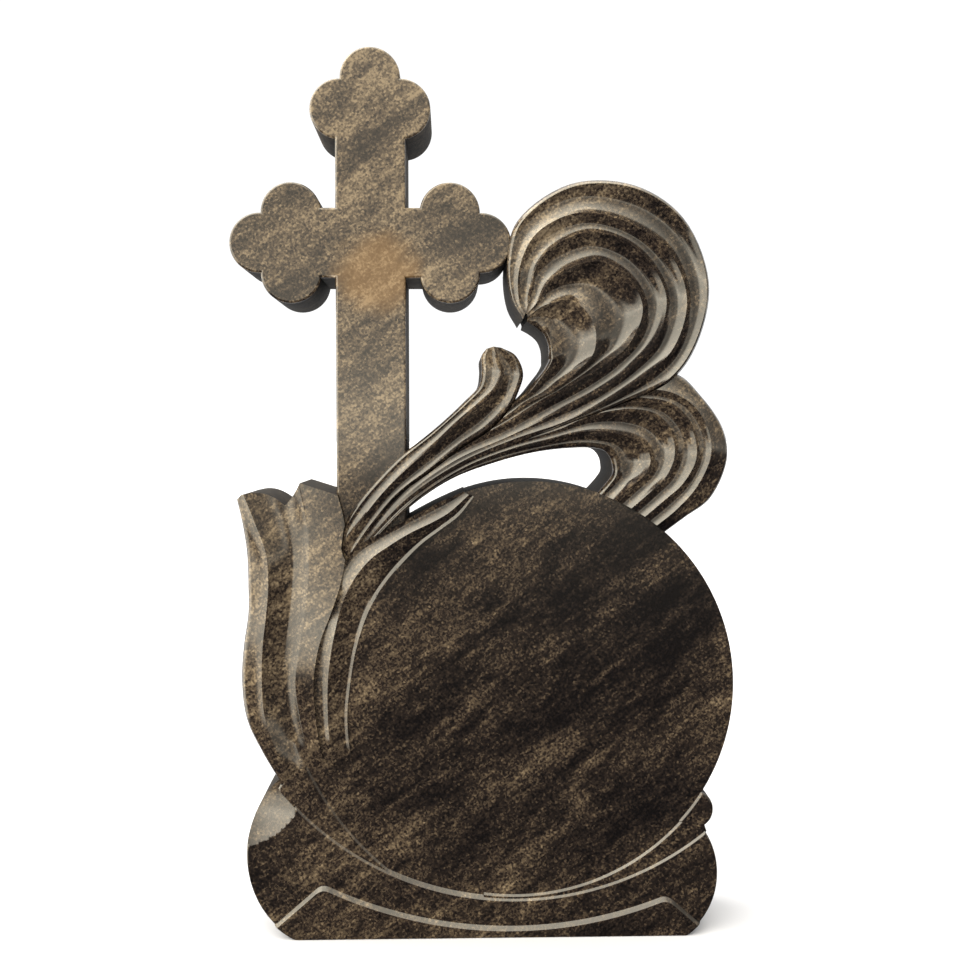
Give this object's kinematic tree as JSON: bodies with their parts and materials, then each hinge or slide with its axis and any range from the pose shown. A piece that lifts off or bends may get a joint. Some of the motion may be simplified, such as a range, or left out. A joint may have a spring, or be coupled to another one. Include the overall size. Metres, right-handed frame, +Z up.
{
  "type": "grave monument",
  "caption": "Upright polished granite grave monument: budded cross beside a carved acanthus scroll, a round bare face for an inscription and a lobed base, standing on its flat underside.",
  "frame": {"origin": "middle of the flat underside, halfway through the slab's thickness", "axes": "+Z up, -Y towards the front with the carving, +X to the right as seen from the front"},
  "size_m": [0.68, 0.12, 1.2],
  "materials": {
    "granite": "polished brown-grey gneissic granite with dark diagonal bands"
  },
  "bodies": {
    "root": {"gravestone": "granite"}
  },
  "joints": []
}
